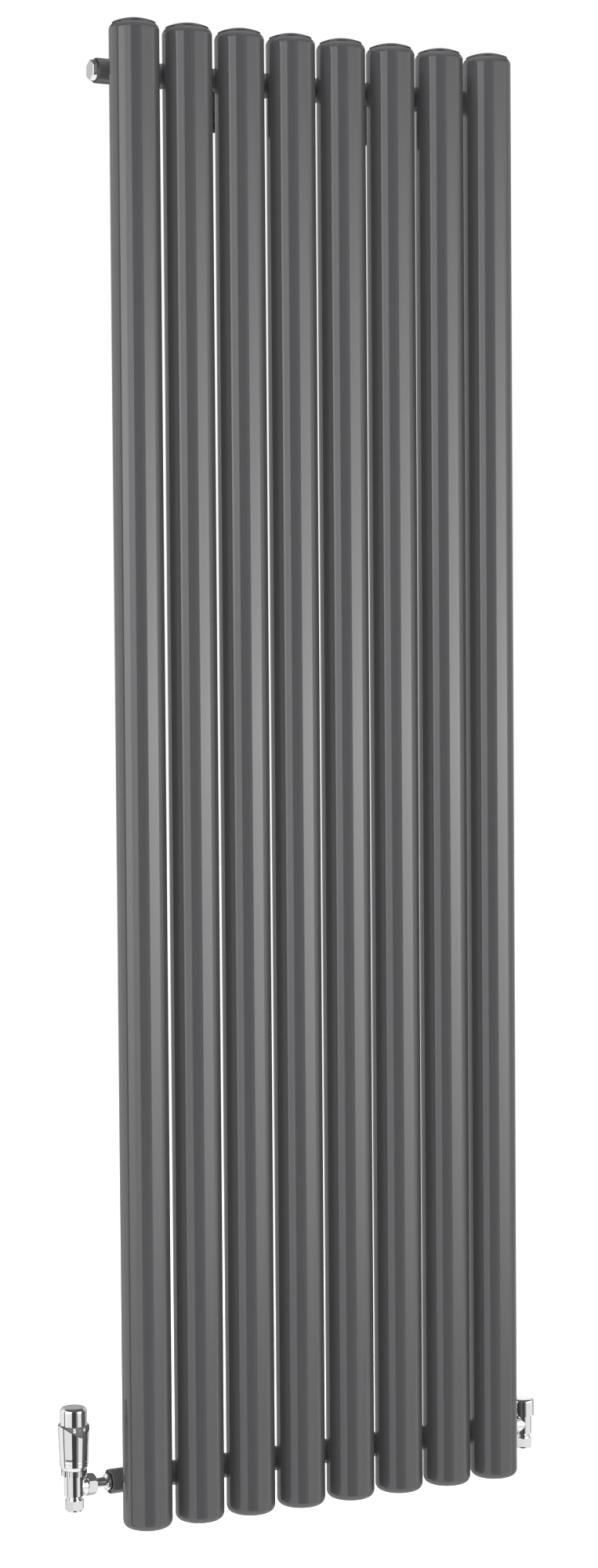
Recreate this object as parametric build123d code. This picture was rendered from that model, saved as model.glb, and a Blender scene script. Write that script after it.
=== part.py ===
from build123d import *
import math
import os

# Eight-column vertical radiator with a thermostatic valve and a lockshield valve.
# Built with x along the row, y towards the wall and z up from the column feet,
# then shifted so that the origin is the centre of the wall fixings.
# Each valve is built about its own outlet: z is 0 at the outlet's axis, x points to the radiator.

# clearances
FIT_SLIP = 0.05            # radial, shaft in its hole
FIT_WELD = 0.1             # radial, welded, soldered or screwed pieces
FIT_FREE = 0.3             # faces that turn past each other

# columns
COLUMN_COUNT = 8
COLUMN_PITCH = 69.0
COLUMN_R = 30.0
COLUMN_WALL = 1.5
COLUMN_H = 1792.8
SHOULDER_R = 8.0
SHOULDER_CUT = 0.85
FOOT_R = 9.0
SEAM_H = 1.2
SEAM_INSET = 1.5
CAP_R = 25.9
CAP_RIM_H = 0.5
CAP_DOME_H = 5.5

# headers
HEADER_R = 15.0
HEADER_WALL = 2.0
HEADER_GAP = 1.5
HEADER_FOOT = 47.0
HEADER_DROP = 48.0
HEADER_OVERHANG = 30.0
SPIGOT_R = 10.0
SPIGOT_WALL = 2.0
SPIGOT_LIP = 0.8
BUSH_LEN = 14.0
BUSH_SET_BACK = 1.2
THREAD_R = 10.35

# wall brackets
WALL_GAP = 25.0
BRACKET_COLUMNS = (2, 5)
PLATE_T = 3.0
PLATE_CORNER_R = 3.0
LUG_W = 34.0
LUG_STANDOFF = 4.5
LUG_CHEEK = 12.0
LUG_CHEEK_DROP = 12.0
LUG_RISE_UPPER = 10.0
LUG_DROP_UPPER = 58.0
LUG_RISE_LOWER = 8.0
LUG_DROP_LOWER = 19.0
BRACKET_W = 30.0
BRACKET_START_UPPER = 15.0
BRACKET_END_UPPER = 54.0
BRACKET_START_LOWER = -3.0
BRACKET_END_LOWER = 23.0
FIXING_DROP_UPPER = 27.8
FIXING_DROP_LOWER = 10.0
FIXING_HOLE_R = 3.5
TONGUE_W = 12.0
TONGUE_T = 4.0
TONGUE_SIDE_GAP = 2.0
TONGUE_DROP_UPPER = 40.0
TONGUE_DROP_LOWER = 3.5
TONGUE_PAST_UPPER = 8.0
TONGUE_PAST_LOWER = 3.0
HOOK_RISE = 6.0
HOOK_SPARE = 2.0
LINER_T = 1.0

# end plugs
PLUG_FLANGE_R = 12.4
PLUG_FLANGE_T = 2.2
PLUG_FLATS = 22.4
PLUG_CORNER_R = 12.2
PLUG_HEAD_T = 5.2
PLUG_EDGE_R = 1.0
PLUG_THREAD_LEN = 10.0
WASHER_R = 12.6
VENT_SCREW_R = 4.0
VENT_SCREW_LEN = 6.5
VENT_SCREW_CONE = 3.0
VENT_SCREW_SQUARE = 5.0
VENT_SCREW_OUT = 2.5
VENT_DUCT_R = 1.5

# both valves
PIPE_R = 7.5
NUT_FLATS = 22.0
NUT_H = 11.5
NUT_RING_R = 10.2
NUT_RING_H = 2.2
PORT_R = 9.0
OLIVE_H = 3.0
OLIVE_T = 1.0
OLIVE_EDGE_T = 0.5
SEAT_DROP = 6.5
OUTLET_R = 5.0
BOSS_R = 9.5
BOSS_STOP_R = 10.8
UNION_START = 15.0
UNION_FLATS = 24.0
UNION_SHOULDER = 3.5
UNION_ROUND = 5.0
TAIL_R = 6.6
TAIL_FLANGE_R = 9.3
TAIL_FLANGE_T = 2.0
TAIL_CONE_T = 2.0
TAIL_COLLAR_R = 10.4
TAIL_COLLAR_T = 5.0
TAIL_THREAD_LEN = 11.0

# thermostatic valve body
TRV_REACH = 46.2
TRV_DROP = 29.2
TRV_UNION_LEN = 12.0
TRV_NECK_R = 9.5
TRV_NECK_LEN = 5.5
TRV_BODY_R = 12.65
TRV_BODY_LEN = 24.0
TRV_COLLAR_R = 12.2
TRV_COLLAR_LEN = 4.0
TRV_CHAMBER_R = 8.0
TRV_SEAT_R = 5.5
TRV_PIPE_STOP = 2.5
INSERT_LEN = 10.5
INSERT_FLATS = 15.0
INSERT_HEAD_H = 3.5
INSERT_GLAND_R = 5.0
INSERT_GLAND_H = 4.5
PIN_R = 1.5
PIN_OUT = 3.0
SEAT_LIFT = 2.5
SEAT_DISC_R = 7.0
SEAT_DISC_T = 2.5
DISC_PLATE_T = 1.5

# thermostatic head
RING_NUT_R = 16.0
RING_NUT_GAP = 0.5
RING_NUT_LIP = 1.3
RING_NUT_FLUTES = 30
RING_NUT_FLUTE_W = 1.2
RING_NUT_FLUTE_D = 0.7
HUB_R = 11.0
HUB_BORE_R = 9.3
BASE_FLANGE_T = 2.0
BASE_DISC_T = 3.0
BASE_TOP_T = 3.2
SLEEVE_FOOT_R = 15.7
SLEEVE_WAIST_R = 17.2
SLEEVE_GRIP_R = 17.6
SLEEVE_TOP_R = 19.4
SLEEVE_FOOT_H = 4.4
SLEEVE_GRIP_H = 11.4
SLEEVE_H = 53.9
SLEEVE_FLOOR_T = 1.4
SLEEVE_WALL = 1.6
SLEEVE_TOP_WALL = 2.1
SLEEVE_STEP_DROP = 18.5
SLEEVE_STEP_H = 6.0
GROOVE_HEIGHTS = (7.0, 10.8)
GROOVE_W = 1.1
GROOVE_D = 0.8
NOTCH_TURN = 8.0
NOTCH_POINTS = ((0.0, 13.2), (7.0, 9.9), (13.0, 5.8), (19.5, 0.0))
DIAL_SKIRT_START = 15.9
DIAL_BAND_H = 17.0
DIAL_GAP = 0.4
DIAL_WALL = 1.2
KNOB_INSET = 0.3
KNOB_H = 21.5
KNOB_FILLET = 5.0
KNOB_WALL = 1.8
SENSOR_GAP = 1.3
SENSOR_LOW_GAP = 3.8
SENSOR_TOP_GAP = 5.2
SENSOR_FILLET = 2.0
PUSHER_R = 5.0

# lockshield valve
LS_REACH = 42.0
LS_DROP = 31.0
LS_UNION_LEN = 10.5
LS_NECK_R = 8.6
LS_NECK_LEN = 5.3
LS_BODY_R = 11.2
LS_BODY_LEN = 23.3
LS_CHAMBER_R = 7.2
LS_SEAT_R = 4.8
LS_PIPE_STOP = 2.3
LS_GLAND_LEN = 7.3
LS_GLAND_HEAD_R = 9.2
LS_GLAND_HEAD_H = 7.9
LS_GLAND_STEM_R = 6.0
LS_GLAND_STEM_H = 3.3
LS_GLAND_ROOF = 1.5
LS_SPINDLE_R = 3.0
LS_SPINDLE_DIP = 0.5
LS_SPINDLE_SQUARE = 4.2
LS_SPINDLE_OUT = 6.5
LS_LIFT = 1.7
LS_NOSE_R = 4.3
LS_NOSE_H = 2.3
LS_PLUG_R = 6.2
LS_PLUG_T = 2.0
LS_PLUG_STEM_R = 4.6
LS_PLUG_STEM_H = 7.5
LS_CAP_R = 14.5
LS_CAP_H = 21.4
LS_CAP_GAP = 0.3
LS_CAP_FILLET = 3.5
LS_CAP_WALL = 1.5
LS_CAP_HUB_WALL = 1.5

# places that follow from the sizes above
ROW_HALF = (COLUMN_COUNT - 1) * COLUMN_PITCH / 2
HEADER_Y = COLUMN_R + HEADER_GAP + HEADER_R
HEADER_LOW_Z = HEADER_FOOT
HEADER_HIGH_Z = COLUMN_H - HEADER_DROP
HEADER_HALF = ROW_HALF + HEADER_OVERHANG
HEADER_BORE_R = HEADER_R - HEADER_WALL
WALL_Y = HEADER_Y + HEADER_R + WALL_GAP
LUG_Y = HEADER_Y + HEADER_R + LUG_STANDOFF
ROW_Z = (HEADER_HIGH_Z - FIXING_DROP_UPPER + HEADER_LOW_Z - FIXING_DROP_LOWER) / 2
PIPE_BORE_R = PIPE_R + FIT_WELD
NUT_STACK = NUT_RING_H + NUT_H
PORT_START = 2 * NUT_RING_H + OLIVE_H

TRV_BASE = -TRV_DROP
TRV_BODY_LOW = TRV_BASE + NUT_STACK + TRV_NECK_LEN
TRV_BODY_TOP = TRV_BODY_LOW + TRV_BODY_LEN
TRV_COLLAR_TOP = TRV_BODY_TOP + TRV_COLLAR_LEN
INSERT_TOP = TRV_COLLAR_TOP + INSERT_HEAD_H
GLAND_TOP = INSERT_TOP + INSERT_GLAND_H
PIN_TOP = GLAND_TOP + PIN_OUT
DISC_LOW = -SEAT_DROP + SEAT_LIFT
FLANGE_TOP = TRV_COLLAR_TOP + BASE_FLANGE_T
SLEEVE_LOW = FLANGE_TOP + RING_NUT_LIP + FIT_FREE
SLEEVE_TOP = SLEEVE_LOW + SLEEVE_H
SLEEVE_FLOOR = SLEEVE_LOW + SLEEVE_FLOOR_T
SLEEVE_LOW_BORE_R = SLEEVE_WAIST_R - SLEEVE_WALL
SLEEVE_BORE_R = SLEEVE_TOP_R - SLEEVE_TOP_WALL
DIAL_LOW = SLEEVE_LOW + DIAL_SKIRT_START
DIAL_R = SLEEVE_BORE_R - DIAL_GAP
DIAL_SKIRT_R = SLEEVE_LOW_BORE_R - 1.5 * DIAL_GAP
DIAL_BORE_R = DIAL_SKIRT_R - DIAL_WALL
BASE_TOP = DIAL_LOW - FIT_FREE
KNOB_R = DIAL_R - KNOB_INSET
KNOB_TOP = SLEEVE_TOP + KNOB_H
SENSOR_R = DIAL_BORE_R - SENSOR_GAP
SENSOR_LOW = BASE_TOP + SENSOR_LOW_GAP
SENSOR_TOP = KNOB_TOP - KNOB_WALL - SENSOR_TOP_GAP

LS_BASE = -LS_DROP
LS_BODY_LOW = LS_BASE + NUT_STACK + LS_NECK_LEN
LS_BODY_TOP = LS_BODY_LOW + LS_BODY_LEN
LS_GLAND_LOW = LS_BODY_TOP - LS_GLAND_LEN
LS_HEAD_TOP = LS_BODY_TOP + LS_GLAND_HEAD_H
LS_GLAND_TOP = LS_HEAD_TOP + LS_GLAND_STEM_H
LS_PLUG_LOW = -SEAT_DROP + LS_LIFT
LS_CAP_LOW = LS_BODY_TOP + LS_CAP_GAP
LS_CAP_TOP = LS_CAP_LOW + LS_CAP_H
LS_CAP_ROOF = LS_CAP_TOP - LS_CAP_WALL

os.makedirs("parts", exist_ok=True)


def save(name, shape):
    placed = Pos(0, -WALL_Y, -ROW_Z) * shape
    placed.label = name
    export_step(placed, f"parts/{name}.step")


def column_x(index):
    return index * COLUMN_PITCH - ROW_HALF


def rod(radius, low, high):
    return Pos(0, 0, low) * Cylinder(radius, high - low, align=(Align.CENTER, Align.CENTER, Align.MIN))


def pipe(outer, inner, low, high):
    return rod(outer, low, high) - rod(inner, low, high)


def cone(low_r, high_r, low, high):
    return Pos(0, 0, low) * Cone(low_r, high_r, high - low, align=(Align.CENTER, Align.CENTER, Align.MIN))


def block(x0, x1, y0, y1, z0, z1):
    return Pos((x0 + x1) / 2, (y0 + y1) / 2, (z0 + z1) / 2) * Box(x1 - x0, y1 - y0, z1 - z0)


def turned(points):
    return revolve(make_face(Polyline(*[(r, 0, z) for r, z in points], close=True).edges()), Axis.Z)


def hexagon(flats, low, high):
    return extrude(Pos(0, 0, low) * RegularPolygon(flats / 2, 6, major_radius=False), high - low)


def corner_radius(flats):
    return flats / 2 / math.cos(math.pi / 6)


def hex_nut(flats, low, high):
    corner = corner_radius(flats)
    inset = corner - flats / 2
    rise = inset * math.tan(math.pi / 6)
    bevel = turned([(0, low), (corner - inset, low), (corner, low + rise),
                    (corner, high - rise), (corner - inset, high), (0, high)])
    return hexagon(flats, low, high) & bevel


def rounded_rod(radius, low, high, low_fillet, high_fillet):
    body = rod(radius, low, high)
    if low_fillet:
        body = fillet(body.edges().group_by(Axis.Z)[0], low_fillet)
    return fillet(body.edges().group_by(Axis.Z)[-1], high_fillet)


# columns and headers
def column():
    virtual_top = COLUMN_H + SHOULDER_CUT
    outer = rounded_rod(COLUMN_R, 0, virtual_top, FOOT_R, SHOULDER_R)
    outer = outer & rod(COLUMN_R, 0, COLUMN_H)
    inner = rounded_rod(COLUMN_R - COLUMN_WALL, COLUMN_WALL, COLUMN_H - COLUMN_WALL,
                        FOOT_R - COLUMN_WALL, SHOULDER_R - COLUMN_WALL)
    shell = outer - inner
    for height in (HEADER_LOW_Z, HEADER_HIGH_Z):
        shell -= Pos(0, 0, height) * Rot(-90, 0, 0) * rod(SPIGOT_R + FIT_WELD, 0, HEADER_Y)
    return shell


def column_cap():
    rim = COLUMN_H + SEAM_H
    edge = rim + CAP_RIM_H
    seam_r = CAP_R - SEAM_INSET
    radius = (CAP_R ** 2 + CAP_DOME_H ** 2) / (2 * CAP_DOME_H)
    half_z = edge + CAP_DOME_H - radius + math.sqrt(radius ** 2 - (CAP_R / 2) ** 2)
    crown = (0, 0, edge + CAP_DOME_H)
    dome = ThreePointArc((CAP_R, 0, edge), (CAP_R / 2, 0, half_z), crown)
    side = Polyline(crown, (0, 0, COLUMN_H), (seam_r, 0, COLUMN_H), (seam_r, 0, rim),
                    (CAP_R, 0, rim), (CAP_R, 0, edge))
    return revolve(make_face([*side.edges(), *dome.edges()]), Axis.Z)


def header(height):
    tube = Rot(0, 90, 0) * pipe(HEADER_R, HEADER_BORE_R, -HEADER_HALF, HEADER_HALF)
    tube = Pos(0, HEADER_Y, height) * tube
    for index in range(COLUMN_COUNT):
        tube -= Pos(column_x(index), 0, height) * Rot(-90, 0, 0) * rod(SPIGOT_R + FIT_WELD, 0, HEADER_Y)
    return tube


def spigots(height):
    front = math.sqrt((COLUMN_R - COLUMN_WALL) ** 2 - SPIGOT_R ** 2) - SPIGOT_LIP
    back = HEADER_Y - math.sqrt(HEADER_BORE_R ** 2 - SPIGOT_R ** 2) + SPIGOT_LIP
    one = Rot(-90, 0, 0) * pipe(SPIGOT_R, SPIGOT_R - SPIGOT_WALL, front, back)
    return Compound(children=[Pos(column_x(i), 0, height) * one for i in range(COLUMN_COUNT)])


def at_header_end(side, height, shape):
    return Pos(side * HEADER_HALF, HEADER_Y, height) * Rot(0, 90 * side, 0) * shape


def header_bushes():
    ring = pipe(HEADER_BORE_R - FIT_WELD, THREAD_R + FIT_WELD, -BUSH_SET_BACK - BUSH_LEN, -BUSH_SET_BACK)
    ends = [(side, height) for side in (-1, 1) for height in (HEADER_LOW_Z, HEADER_HIGH_Z)]
    return Compound(children=[at_header_end(side, height, ring) for side, height in ends])


# wall brackets
def lug(header_z, rise, drop, slot_low, slot_high):
    half = LUG_W / 2
    low = header_z - drop
    high = header_z + rise
    slot_half = TONGUE_W / 2 + TONGUE_SIDE_GAP
    piece = block(-half, half, LUG_Y, LUG_Y + PLATE_T, low, high)
    piece -= block(-slot_half, slot_half, LUG_Y, LUG_Y + PLATE_T, slot_low, slot_high)
    for x in (-half, half - PLATE_T):
        piece += block(x, x + PLATE_T, LUG_Y - LUG_CHEEK, LUG_Y, header_z - LUG_CHEEK_DROP, high)
    return piece - Pos(0, HEADER_Y, header_z) * Rot(0, 90, 0) * rod(HEADER_R + FIT_WELD, -half, half)


def bracket(header_z, start, end, fixing_drop, tongue_drop, past, hook):
    half = BRACKET_W / 2
    tongue_half = TONGUE_W / 2
    inner = WALL_Y - PLATE_T
    plate = block(-half, half, inner, WALL_Y, header_z - end, header_z - start)
    plate = fillet(plate.edges().filter_by(Axis.Y), PLATE_CORNER_R)
    plate -= Pos(0, inner, header_z - fixing_drop) * Rot(-90, 0, 0) * rod(FIXING_HOLE_R, 0, PLATE_T)
    top = header_z - tongue_drop
    tip = LUG_Y - past
    piece = plate + block(-tongue_half, tongue_half, tip, inner, top - TONGUE_T, top)
    if hook:
        piece += block(-tongue_half, tongue_half, tip, tip + TONGUE_T, top, top + HOOK_RISE)
    return piece


def tongue_liner(tongue_z):
    half = TONGUE_W / 2
    return block(-half, half, LUG_Y - LINER_T, LUG_Y + PLATE_T + LINER_T, tongue_z, tongue_z + LINER_T)


# end plugs
def plug_blank():
    plug = rod(THREAD_R, -BUSH_SET_BACK - PLUG_THREAD_LEN, 0) + rod(PLUG_FLANGE_R, 0, PLUG_FLANGE_T)
    top = PLUG_FLANGE_T + PLUG_HEAD_T
    head = hexagon(PLUG_FLATS, PLUG_FLANGE_T, top) & rod(PLUG_CORNER_R, PLUG_FLANGE_T, top)
    return plug + fillet(head.edges().group_by(Axis.Z)[-1], PLUG_EDGE_R)


def washer():
    return pipe(WASHER_R, THREAD_R + FIT_WELD, -BUSH_SET_BACK, 0)


def vent_plug():
    top = PLUG_FLANGE_T + PLUG_HEAD_T
    plug = plug_blank() - rod(VENT_SCREW_R + FIT_SLIP, top - VENT_SCREW_LEN, top)
    return plug - rod(VENT_DUCT_R, -BUSH_SET_BACK - PLUG_THREAD_LEN, top)


def bleed_screw():
    top = PLUG_FLANGE_T + PLUG_HEAD_T
    low = top - VENT_SCREW_LEN
    half = VENT_SCREW_SQUARE / 2
    screw = cone(VENT_DUCT_R, VENT_SCREW_R, low + FIT_SLIP, low + VENT_SCREW_CONE)
    screw += rod(VENT_SCREW_R, low + VENT_SCREW_CONE, top)
    return screw + block(-half, half, -half, half, top, top + VENT_SCREW_OUT)


# pieces that both valves have
def outward(shape):
    return Rot(0, 90, 0) * shape


def compression_nut(base):
    ring_top = base + NUT_RING_H
    cone_top = ring_top + NUT_RING_H
    thread_r = PORT_R + FIT_WELD
    nut = hex_nut(NUT_FLATS, ring_top, base + NUT_STACK) + rod(NUT_RING_R, base, ring_top)
    nut -= rod(PIPE_BORE_R, base, ring_top)
    nut -= cone(PIPE_BORE_R, thread_r, ring_top, cone_top)
    return nut - rod(thread_r, cone_top, base + NUT_STACK)


def olive(base):
    low = base + 2 * NUT_RING_H
    high = low + OLIVE_H
    edge = PIPE_BORE_R + OLIVE_EDGE_T
    return turned([(PIPE_BORE_R, low), (edge, low), (PIPE_BORE_R + OLIVE_T, (low + high) / 2),
                   (edge, high), (PIPE_BORE_R, high)])


def union_nut(length):
    end = UNION_START + length
    nut = hexagon(UNION_FLATS, UNION_START, end)
    nut = nut & rounded_rod(corner_radius(UNION_FLATS), UNION_START, end, 0, UNION_ROUND)
    nut -= rod(BOSS_R + FIT_WELD, UNION_START, end - UNION_SHOULDER)
    return outward(nut - rod(TAIL_R + FIT_WELD, UNION_START, end))


def tailpiece(reach, length):
    shoulder = UNION_START + length - UNION_SHOULDER
    start = shoulder - TAIL_FLANGE_T
    collar = reach - TAIL_COLLAR_T
    seat = reach + BUSH_SET_BACK
    end = seat + TAIL_THREAD_LEN
    tail = rod(TAIL_FLANGE_R, start, shoulder) + rod(TAIL_R, shoulder, seat)
    tail += cone(TAIL_R, TAIL_COLLAR_R, collar - TAIL_CONE_T, collar)
    tail += rod(TAIL_COLLAR_R, collar, seat) + rod(THREAD_R, seat, end)
    return outward(tail - rod(OUTLET_R, start, end))


def valve_body(base, neck_r, body_r, low, high, pipe_stop, chamber_r, seat_r, length):
    nut_top = base + NUT_STACK
    boss_end = UNION_START + length - UNION_SHOULDER - TAIL_FLANGE_T
    shell = rod(PORT_R, base + PORT_START, low) + rod(neck_r, nut_top + FIT_WELD, low)
    shell += cone(neck_r, body_r, low - (body_r - neck_r), low) + rod(body_r, low, high)
    shell += outward(rod(BOSS_R, 0, boss_end) + rod(BOSS_STOP_R, 0, UNION_START - FIT_WELD))
    shell -= rod(PIPE_BORE_R, base + PORT_START, nut_top + pipe_stop)
    shell -= rod(seat_r, nut_top + pipe_stop, -SEAT_DROP)
    shell -= rod(chamber_r, -SEAT_DROP, high)
    return shell - outward(rod(OUTLET_R, 0, boss_end))


# thermostatic valve
def trv_body():
    shell = valve_body(TRV_BASE, TRV_NECK_R, TRV_BODY_R, TRV_BODY_LOW, TRV_BODY_TOP, TRV_PIPE_STOP,
                       TRV_CHAMBER_R, TRV_SEAT_R, TRV_UNION_LEN)
    return shell + pipe(TRV_COLLAR_R, TRV_CHAMBER_R, TRV_BODY_TOP, TRV_COLLAR_TOP)


def trv_insert():
    low = TRV_COLLAR_TOP - INSERT_LEN
    body = rod(TRV_CHAMBER_R - FIT_WELD, low, TRV_COLLAR_TOP)
    body += hexagon(INSERT_FLATS, TRV_COLLAR_TOP, INSERT_TOP) + rod(INSERT_GLAND_R, INSERT_TOP, GLAND_TOP)
    return body - rod(PIN_R + FIT_SLIP, low, GLAND_TOP)


def trv_seat_disc():
    return rod(SEAT_DISC_R, DISC_LOW, DISC_LOW + SEAT_DISC_T)


def trv_pin():
    plate = DISC_LOW + SEAT_DISC_T
    return rod(SEAT_DISC_R, plate, plate + DISC_PLATE_T) + rod(PIN_R, plate + DISC_PLATE_T, PIN_TOP)


def trv_ring_nut():
    low = TRV_BODY_TOP + RING_NUT_GAP
    high = FLANGE_TOP + RING_NUT_LIP
    ring = pipe(RING_NUT_R, HUB_R + FIT_WELD, low, high)
    ring -= rod(TRV_COLLAR_R + FIT_WELD, low, FLANGE_TOP)
    flute = block(RING_NUT_R - RING_NUT_FLUTE_D, RING_NUT_R + RING_NUT_FLUTE_D,
                  -RING_NUT_FLUTE_W / 2, RING_NUT_FLUTE_W / 2, low, high)
    for index in range(RING_NUT_FLUTES):
        ring -= Rot(0, 0, index * 360 / RING_NUT_FLUTES) * flute
    return ring


def trv_base():
    base = rod(TRV_COLLAR_R, TRV_COLLAR_TOP, FLANGE_TOP) + rod(HUB_R, FLANGE_TOP, BASE_TOP)
    base += rod(SLEEVE_FOOT_R - SLEEVE_WALL - FIT_FREE, SLEEVE_FLOOR, SLEEVE_FLOOR + BASE_DISC_T)
    base += rod(DIAL_SKIRT_R, BASE_TOP - BASE_TOP_T, BASE_TOP)
    return base - rod(HUB_BORE_R, TRV_COLLAR_TOP, BASE_TOP)


def notch():
    right = Spline(*[(x, 0, SLEEVE_TOP - drop) for x, drop in NOTCH_POINTS])
    left = Spline(*[(-x, 0, SLEEVE_TOP - drop) for x, drop in NOTCH_POINTS])
    reach = NOTCH_POINTS[-1][0]
    lid = Line((reach, 0, SLEEVE_TOP), (-reach, 0, SLEEVE_TOP))
    face = make_face([*right.edges(), *left.edges(), *lid.edges()])
    return Rot(0, 0, NOTCH_TURN) * extrude(face, reach, dir=(0, -1, 0))


def trv_sleeve():
    waist = SLEEVE_LOW + SLEEVE_FOOT_H
    step = SLEEVE_TOP - SLEEVE_STEP_DROP
    shell = turned([(0, SLEEVE_LOW), (SLEEVE_FOOT_R, SLEEVE_LOW), (SLEEVE_WAIST_R, waist),
                    (SLEEVE_GRIP_R, SLEEVE_LOW + SLEEVE_GRIP_H), (SLEEVE_TOP_R, SLEEVE_TOP), (0, SLEEVE_TOP)])
    shell -= rod(HUB_R + FIT_WELD, SLEEVE_LOW, SLEEVE_FLOOR)
    shell -= turned([(0, SLEEVE_FLOOR), (SLEEVE_FOOT_R - SLEEVE_WALL, SLEEVE_FLOOR),
                     (SLEEVE_LOW_BORE_R, waist), (SLEEVE_LOW_BORE_R, step - SLEEVE_STEP_H),
                     (SLEEVE_BORE_R, step), (SLEEVE_BORE_R, SLEEVE_TOP), (0, SLEEVE_TOP)])
    for height in GROOVE_HEIGHTS:
        centre = SLEEVE_LOW + height
        shell -= pipe(SLEEVE_TOP_R, SLEEVE_GRIP_R - GROOVE_D, centre - GROOVE_W / 2, centre + GROOVE_W / 2)
    return shell - notch()


def trv_dial():
    step = SLEEVE_TOP - DIAL_BAND_H
    return pipe(DIAL_SKIRT_R, DIAL_BORE_R, DIAL_LOW, step) + pipe(DIAL_R, DIAL_BORE_R, step, SLEEVE_TOP)


def trv_knob():
    outer = rounded_rod(KNOB_R, SLEEVE_TOP, KNOB_TOP, 0, KNOB_FILLET)
    return outer - rounded_rod(KNOB_R - KNOB_WALL, SLEEVE_TOP, KNOB_TOP - KNOB_WALL, 0, KNOB_FILLET - KNOB_WALL)


def trv_sensor():
    capsule = rounded_rod(SENSOR_R, SENSOR_LOW, SENSOR_TOP, SENSOR_FILLET, SENSOR_FILLET)
    return capsule + rod(PUSHER_R, PIN_TOP, SENSOR_LOW)


# lockshield valve
def ls_body():
    return valve_body(LS_BASE, LS_NECK_R, LS_BODY_R, LS_BODY_LOW, LS_BODY_TOP, LS_PIPE_STOP,
                      LS_CHAMBER_R, LS_SEAT_R, LS_UNION_LEN)


def ls_gland():
    body = rod(LS_CHAMBER_R - FIT_WELD, LS_GLAND_LOW, LS_BODY_TOP)
    body += rod(LS_GLAND_HEAD_R, LS_BODY_TOP, LS_HEAD_TOP) + rod(LS_GLAND_STEM_R, LS_HEAD_TOP, LS_GLAND_TOP)
    body -= rod(LS_PLUG_STEM_R + FIT_FREE, LS_GLAND_LOW, LS_HEAD_TOP - LS_GLAND_ROOF)
    return body - rod(LS_SPINDLE_R + FIT_SLIP, LS_GLAND_LOW, LS_GLAND_TOP)


def ls_spindle():
    half = LS_SPINDLE_SQUARE / 2
    spindle = rod(LS_SPINDLE_R, LS_GLAND_LOW - LS_SPINDLE_DIP, LS_GLAND_TOP)
    return spindle + block(-half, half, -half, half, LS_GLAND_TOP, LS_GLAND_TOP + LS_SPINDLE_OUT)


def ls_plug():
    shoulder = LS_PLUG_LOW + LS_NOSE_H
    top = shoulder + LS_PLUG_T
    plug = cone(LS_NOSE_R, LS_PLUG_R, LS_PLUG_LOW, shoulder) + rod(LS_PLUG_R, shoulder, top)
    plug += rod(LS_PLUG_STEM_R, top, top + LS_PLUG_STEM_H)
    return plug - rod(LS_SPINDLE_R + FIT_SLIP, top, top + LS_PLUG_STEM_H)


def ls_cap():
    hub_r = LS_GLAND_HEAD_R + FIT_WELD + LS_CAP_HUB_WALL
    cap = rounded_rod(LS_CAP_R, LS_CAP_LOW, LS_CAP_TOP, 0, LS_CAP_FILLET)
    cap -= rod(LS_CAP_R - LS_CAP_WALL, LS_CAP_LOW, LS_CAP_ROOF)
    cap += pipe(hub_r, LS_GLAND_HEAD_R + FIT_WELD, LS_CAP_LOW, LS_HEAD_TOP)
    return cap + pipe(hub_r, LS_GLAND_STEM_R + FIT_FREE, LS_HEAD_TOP, LS_CAP_ROOF)


for index in range(COLUMN_COUNT):
    save(f"column_{index + 1}", Pos(column_x(index), 0, 0) * column())
    save(f"column_cap_{index + 1}", Pos(column_x(index), 0, 0) * column_cap())

for name, header_z in (("upper", HEADER_HIGH_Z), ("lower", HEADER_LOW_Z)):
    save(f"header_{name}", header(header_z))
    save(f"spigots_{name}", spigots(header_z))
save("header_bushes", header_bushes())

UPPER_SLOT_TOP = HEADER_HIGH_Z - TONGUE_DROP_UPPER + LINER_T
UPPER_SLOT_LOW = UPPER_SLOT_TOP - TONGUE_T - HOOK_RISE - LINER_T - HOOK_SPARE
LOWER_SLOT_TOP = HEADER_LOW_Z - TONGUE_DROP_LOWER + LINER_T
upper_lug = lug(HEADER_HIGH_Z, LUG_RISE_UPPER, LUG_DROP_UPPER, UPPER_SLOT_LOW, UPPER_SLOT_TOP)
lower_lug = lug(HEADER_LOW_Z, LUG_RISE_LOWER, LUG_DROP_LOWER, HEADER_LOW_Z - LUG_DROP_LOWER, LOWER_SLOT_TOP)
upper_bracket = bracket(HEADER_HIGH_Z, BRACKET_START_UPPER, BRACKET_END_UPPER, FIXING_DROP_UPPER,
                        TONGUE_DROP_UPPER, TONGUE_PAST_UPPER, True)
lower_bracket = bracket(HEADER_LOW_Z, BRACKET_START_LOWER, BRACKET_END_LOWER, FIXING_DROP_LOWER,
                        TONGUE_DROP_LOWER, TONGUE_PAST_LOWER, False)
liners = []
for side, index in zip(("left", "right"), BRACKET_COLUMNS):
    place = Pos(column_x(index), 0, 0)
    save(f"lug_upper_{side}", place * upper_lug)
    save(f"lug_lower_{side}", place * lower_lug)
    save(f"bracket_upper_{side}", place * upper_bracket)
    save(f"bracket_lower_{side}", place * lower_bracket)
    liners.append(place * tongue_liner(HEADER_HIGH_Z - TONGUE_DROP_UPPER))
    liners.append(place * tongue_liner(HEADER_LOW_Z - TONGUE_DROP_LOWER))
save("tongue_liners", Compound(children=liners))

save("blanking_plug", at_header_end(-1, HEADER_HIGH_Z, plug_blank()))
save("blanking_washer", at_header_end(-1, HEADER_HIGH_Z, washer()))
save("vent_plug", at_header_end(1, HEADER_HIGH_Z, vent_plug()))
save("vent_washer", at_header_end(1, HEADER_HIGH_Z, washer()))
save("bleed_screw", at_header_end(1, HEADER_HIGH_Z, bleed_screw()))

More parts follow.
